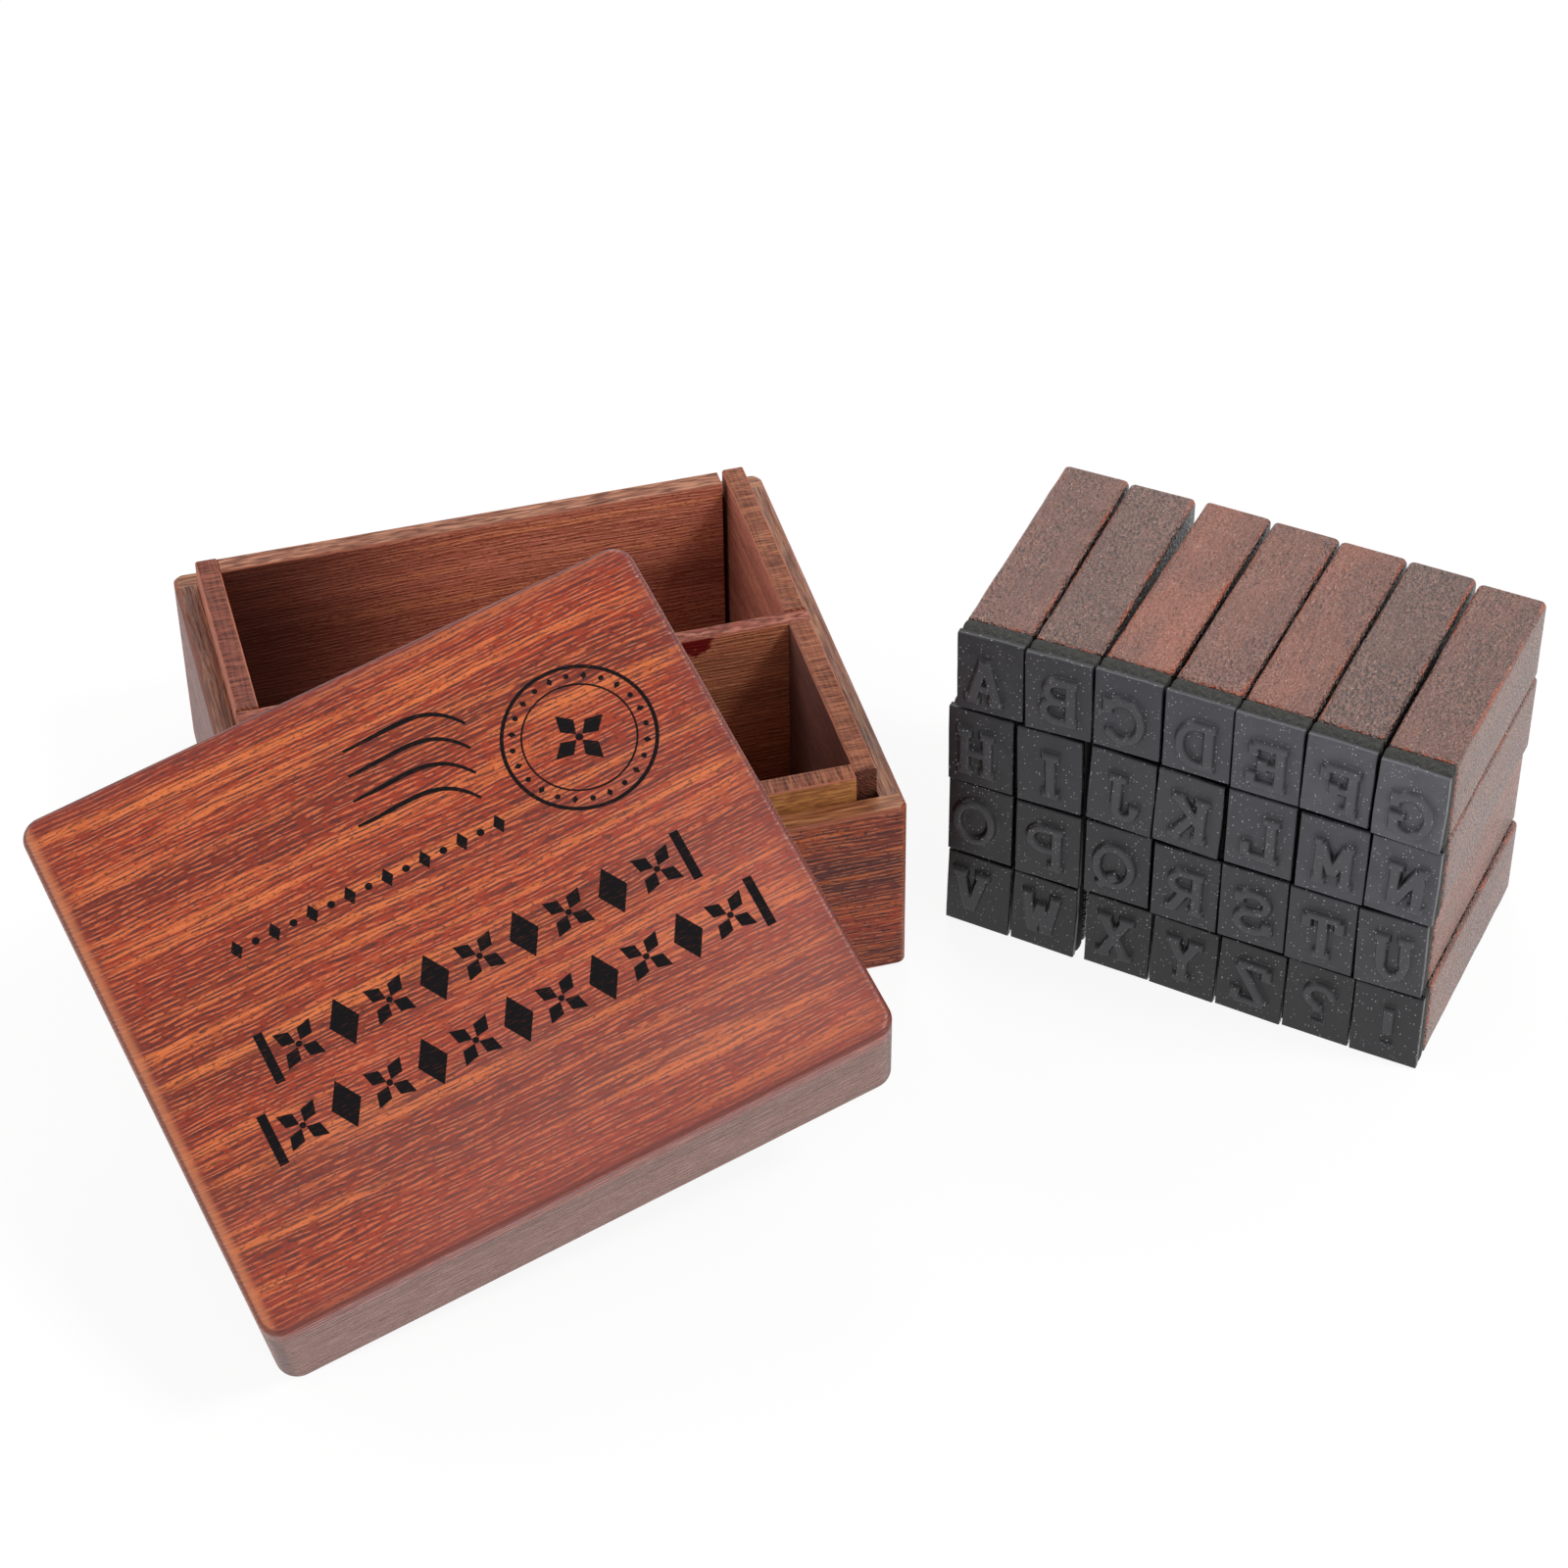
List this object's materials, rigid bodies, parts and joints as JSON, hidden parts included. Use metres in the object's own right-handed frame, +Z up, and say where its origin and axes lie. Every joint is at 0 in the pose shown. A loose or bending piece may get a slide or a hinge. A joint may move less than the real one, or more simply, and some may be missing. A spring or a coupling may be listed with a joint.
{
  "type": "stamp box",
  "caption": "Wooden box with two compartments, its lift-off lid leaning on one corner, and a stack of wood-block letter stamps with rubber faces beside it.",
  "frame": {"origin": "the centre of the box's underside, on the table", "axes": "+X to the right along the box's front wall, +Y to the back wall, +Z up"},
  "size_m": [0.2449, 0.1642, 0.0757],
  "materials": {
    "box_wood": "satin stain, grain showing",
    "liner_wood": "matt stain",
    "lid_wood": "satin reddish-brown stain",
    "stamp_wood": "textured brown lacquer",
    "rubber_die": "dark grey moulded rubber",
    "foam_cushion": "black closed-cell foam"
  },
  "bodies": {
    "box_base": {"bottom_panel": "liner_wood", "front_wall": "box_wood", "back_wall": "box_wood", "left_wall": "box_wood", "right_wall": "box_wood", "front_liner": "liner_wood", "back_liner": "liner_wood", "left_liner": "liner_wood", "right_liner": "liner_wood", "divider": "liner_wood"},
    "lid": {"lid_top": "lid_wood", "lid_front_rail": "lid_wood", "lid_back_rail": "lid_wood", "lid_left_rail": "lid_wood", "lid_right_rail": "lid_wood"},
    "stamp_a_body": {"stamp_a": "stamp_wood"},
    "stamp_b_body": {"stamp_b": "stamp_wood"},
    "stamp_c_body": {"stamp_c": "stamp_wood"},
    "stamp_d_body": {"stamp_d": "stamp_wood"},
    "stamp_e_body": {"stamp_e": "stamp_wood"},
    "stamp_f_body": {"stamp_f": "stamp_wood"},
    "stamp_g_body": {"stamp_g": "stamp_wood"},
    "stamp_h_body": {"stamp_h": "stamp_wood"},
    "stamp_i_body": {"stamp_i": "stamp_wood"},
    "stamp_j_body": {"stamp_j": "stamp_wood"},
    "stamp_k_body": {"stamp_k": "stamp_wood"},
    "stamp_l_body": {"stamp_l": "stamp_wood"},
    "stamp_m_body": {"stamp_m": "stamp_wood"},
    "stamp_n_body": {"stamp_n": "stamp_wood"},
    "stamp_o_body": {"stamp_o": "stamp_wood"},
    "stamp_p_body": {"stamp_p": "stamp_wood"},
    "stamp_q_body": {"stamp_q": "stamp_wood"},
    "stamp_r_body": {"stamp_r": "stamp_wood"},
    "stamp_s_body": {"stamp_s": "stamp_wood"},
    "stamp_t_body": {"stamp_t": "stamp_wood"},
    "stamp_u_body": {"stamp_u": "stamp_wood"},
    "stamp_v_body": {"stamp_v": "stamp_wood"},
    "stamp_w_body": {"stamp_w": "stamp_wood"},
    "stamp_x_body": {"stamp_x": "stamp_wood"},
    "stamp_y_body": {"stamp_y": "stamp_wood"},
    "stamp_z_body": {"stamp_z": "stamp_wood"},
    "stamp_question_body": {"stamp_question": "stamp_wood"},
    "stamp_exclamation_body": {"stamp_exclamation": "stamp_wood"}
  },
  "joints": [
    {"name": "lid_lift", "type": "slide", "parent": "box_base", "child": "lid", "axis": [0, 0, 1], "range_m": [0, 0.06]},
    {"name": "stamp_a_pull", "type": "slide", "parent": "box_base", "child": "stamp_a_body", "axis": [0.6327, 0.7744, 0], "range_m": [0, 0.05]},
    {"name": "stamp_b_pull", "type": "slide", "parent": "box_base", "child": "stamp_b_body", "axis": [0.6341, 0.7733, 0], "range_m": [0, 0.05]},
    {"name": "stamp_c_pull", "type": "slide", "parent": "box_base", "child": "stamp_c_body", "axis": [0.658, 0.753, 0], "range_m": [0, 0.05]},
    {"name": "stamp_d_pull", "type": "slide", "parent": "box_base", "child": "stamp_d_body", "axis": [0.658, 0.753, 0], "range_m": [0, 0.05]},
    {"name": "stamp_e_pull", "type": "slide", "parent": "box_base", "child": "stamp_e_body", "axis": [0.658, 0.753, 0], "range_m": [0, 0.05]},
    {"name": "stamp_f_pull", "type": "slide", "parent": "box_base", "child": "stamp_f_body", "axis": [0.658, 0.753, 0], "range_m": [0, 0.05]},
    {"name": "stamp_g_pull", "type": "slide", "parent": "box_base", "child": "stamp_g_body", "axis": [0.658, 0.753, 0], "range_m": [0, 0.05]},
    {"name": "stamp_h_pull", "type": "slide", "parent": "box_base", "child": "stamp_h_body", "axis": [0.658, 0.753, 0], "range_m": [0, 0.05]},
    {"name": "stamp_i_pull", "type": "slide", "parent": "box_base", "child": "stamp_i_body", "axis": [0.658, 0.753, 0], "range_m": [0, 0.05]},
    {"name": "stamp_j_pull", "type": "slide", "parent": "box_base", "child": "stamp_j_body", "axis": [0.658, 0.753, 0], "range_m": [0, 0.05]},
    {"name": "stamp_k_pull", "type": "slide", "parent": "box_base", "child": "stamp_k_body", "axis": [0.658, 0.753, 0], "range_m": [0, 0.05]},
    {"name": "stamp_l_pull", "type": "slide", "parent": "box_base", "child": "stamp_l_body", "axis": [0.658, 0.753, 0], "range_m": [0, 0.05]},
    {"name": "stamp_m_pull", "type": "slide", "parent": "box_base", "child": "stamp_m_body", "axis": [0.658, 0.753, 0], "range_m": [0, 0.05]},
    {"name": "stamp_n_pull", "type": "slide", "parent": "box_base", "child": "stamp_n_body", "axis": [0.658, 0.753, 0], "range_m": [0, 0.05]},
    {"name": "stamp_o_pull", "type": "slide", "parent": "box_base", "child": "stamp_o_body", "axis": [0.658, 0.753, 0], "range_m": [0, 0.05]},
    {"name": "stamp_p_pull", "type": "slide", "parent": "box_base", "child": "stamp_p_body", "axis": [0.658, 0.753, 0], "range_m": [0, 0.05]},
    {"name": "stamp_q_pull", "type": "slide", "parent": "box_base", "child": "stamp_q_body", "axis": [0.658, 0.753, 0], "range_m": [0, 0.05]},
    {"name": "stamp_r_pull", "type": "slide", "parent": "box_base", "child": "stamp_r_body", "axis": [0.658, 0.753, 0], "range_m": [0, 0.05]},
    {"name": "stamp_s_pull", "type": "slide", "parent": "box_base", "child": "stamp_s_body", "axis": [0.658, 0.753, 0], "range_m": [0, 0.05]},
    {"name": "stamp_t_pull", "type": "slide", "parent": "box_base", "child": "stamp_t_body", "axis": [0.658, 0.753, 0], "range_m": [0, 0.05]},
    {"name": "stamp_u_pull", "type": "slide", "parent": "box_base", "child": "stamp_u_body", "axis": [0.658, 0.753, 0], "range_m": [0, 0.05]},
    {"name": "stamp_v_pull", "type": "slide", "parent": "box_base", "child": "stamp_v_body", "axis": [0.658, 0.753, 0], "range_m": [0, 0.05]},
    {"name": "stamp_w_pull", "type": "slide", "parent": "box_base", "child": "stamp_w_body", "axis": [0.658, 0.753, 0], "range_m": [0, 0.05]},
    {"name": "stamp_x_pull", "type": "slide", "parent": "box_base", "child": "stamp_x_body", "axis": [0.658, 0.753, 0], "range_m": [0, 0.05]},
    {"name": "stamp_y_pull", "type": "slide", "parent": "box_base", "child": "stamp_y_body", "axis": [0.658, 0.753, 0], "range_m": [0, 0.05]},
    {"name": "stamp_z_pull", "type": "slide", "parent": "box_base", "child": "stamp_z_body", "axis": [0.658, 0.753, 0], "range_m": [0, 0.05]},
    {"name": "stamp_question_pull", "type": "slide", "parent": "box_base", "child": "stamp_question_body", "axis": [0.658, 0.753, 0], "range_m": [0, 0.05]},
    {"name": "stamp_exclamation_pull", "type": "slide", "parent": "box_base", "child": "stamp_exclamation_body", "axis": [0.658, 0.753, 0], "range_m": [0, 0.05]}
  ]
}
